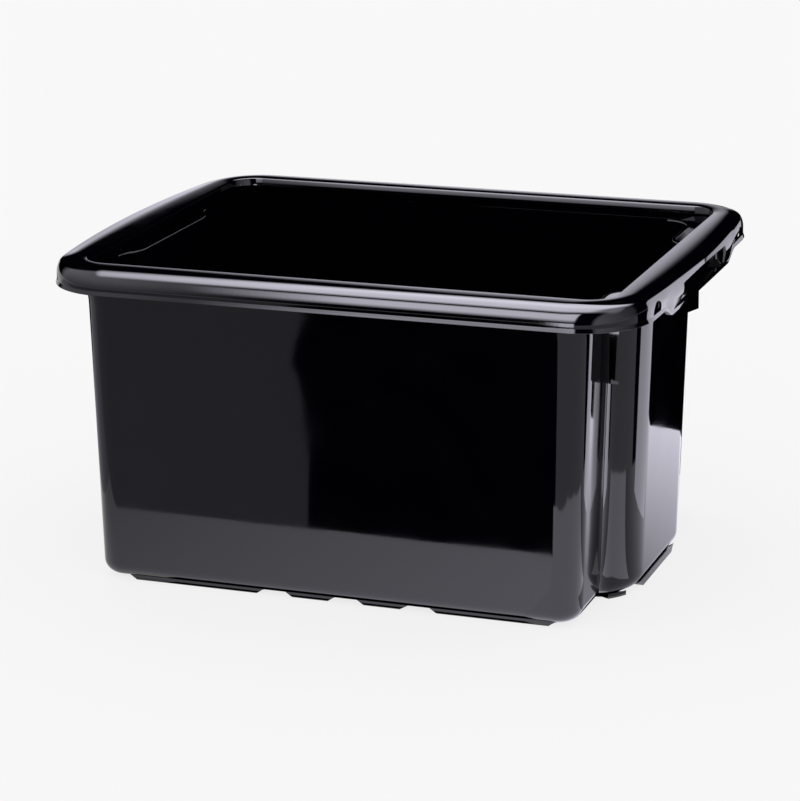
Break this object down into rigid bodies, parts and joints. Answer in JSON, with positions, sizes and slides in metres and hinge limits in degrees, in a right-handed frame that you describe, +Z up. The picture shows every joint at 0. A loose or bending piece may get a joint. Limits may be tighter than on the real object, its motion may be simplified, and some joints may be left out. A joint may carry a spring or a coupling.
{
  "type": "storage box",
  "caption": "Open stacking storage box in glossy black plastic with a hollow rounded rim, end handles, stacking ledges and low foot pads.",
  "frame": {"origin": "on the floor, under the middle of the box", "axes": "+X along the length towards the end with the set-back corners, +Y towards the rear wall, +Z up"},
  "size_m": [0.5148, 0.39, 0.27],
  "materials": {
    "box_plastic": "glossy black moulded polypropylene with slightly wavy walls"
  },
  "bodies": {
    "root": {"base_panel": "box_plastic", "front_wall": "box_plastic", "rear_wall": "box_plastic", "front_left_corner": "box_plastic", "rear_left_corner": "box_plastic", "front_right_corner": "box_plastic", "rear_right_corner": "box_plastic", "left_end_panel": "box_plastic", "right_end_panel": "box_plastic", "left_ledge": "box_plastic", "front_right_ledge": "box_plastic", "rear_right_ledge": "box_plastic", "front_rim": "box_plastic", "rear_rim": "box_plastic", "front_left_rim": "box_plastic", "rear_left_rim": "box_plastic", "front_right_rim": "box_plastic", "rear_right_rim": "box_plastic", "left_handle": "box_plastic", "right_handle": "box_plastic", "front_nest_stop": "box_plastic", "rear_nest_stop": "box_plastic", "front_feet": "box_plastic", "rear_feet": "box_plastic", "left_feet": "box_plastic", "right_feet": "box_plastic"}
  },
  "joints": []
}
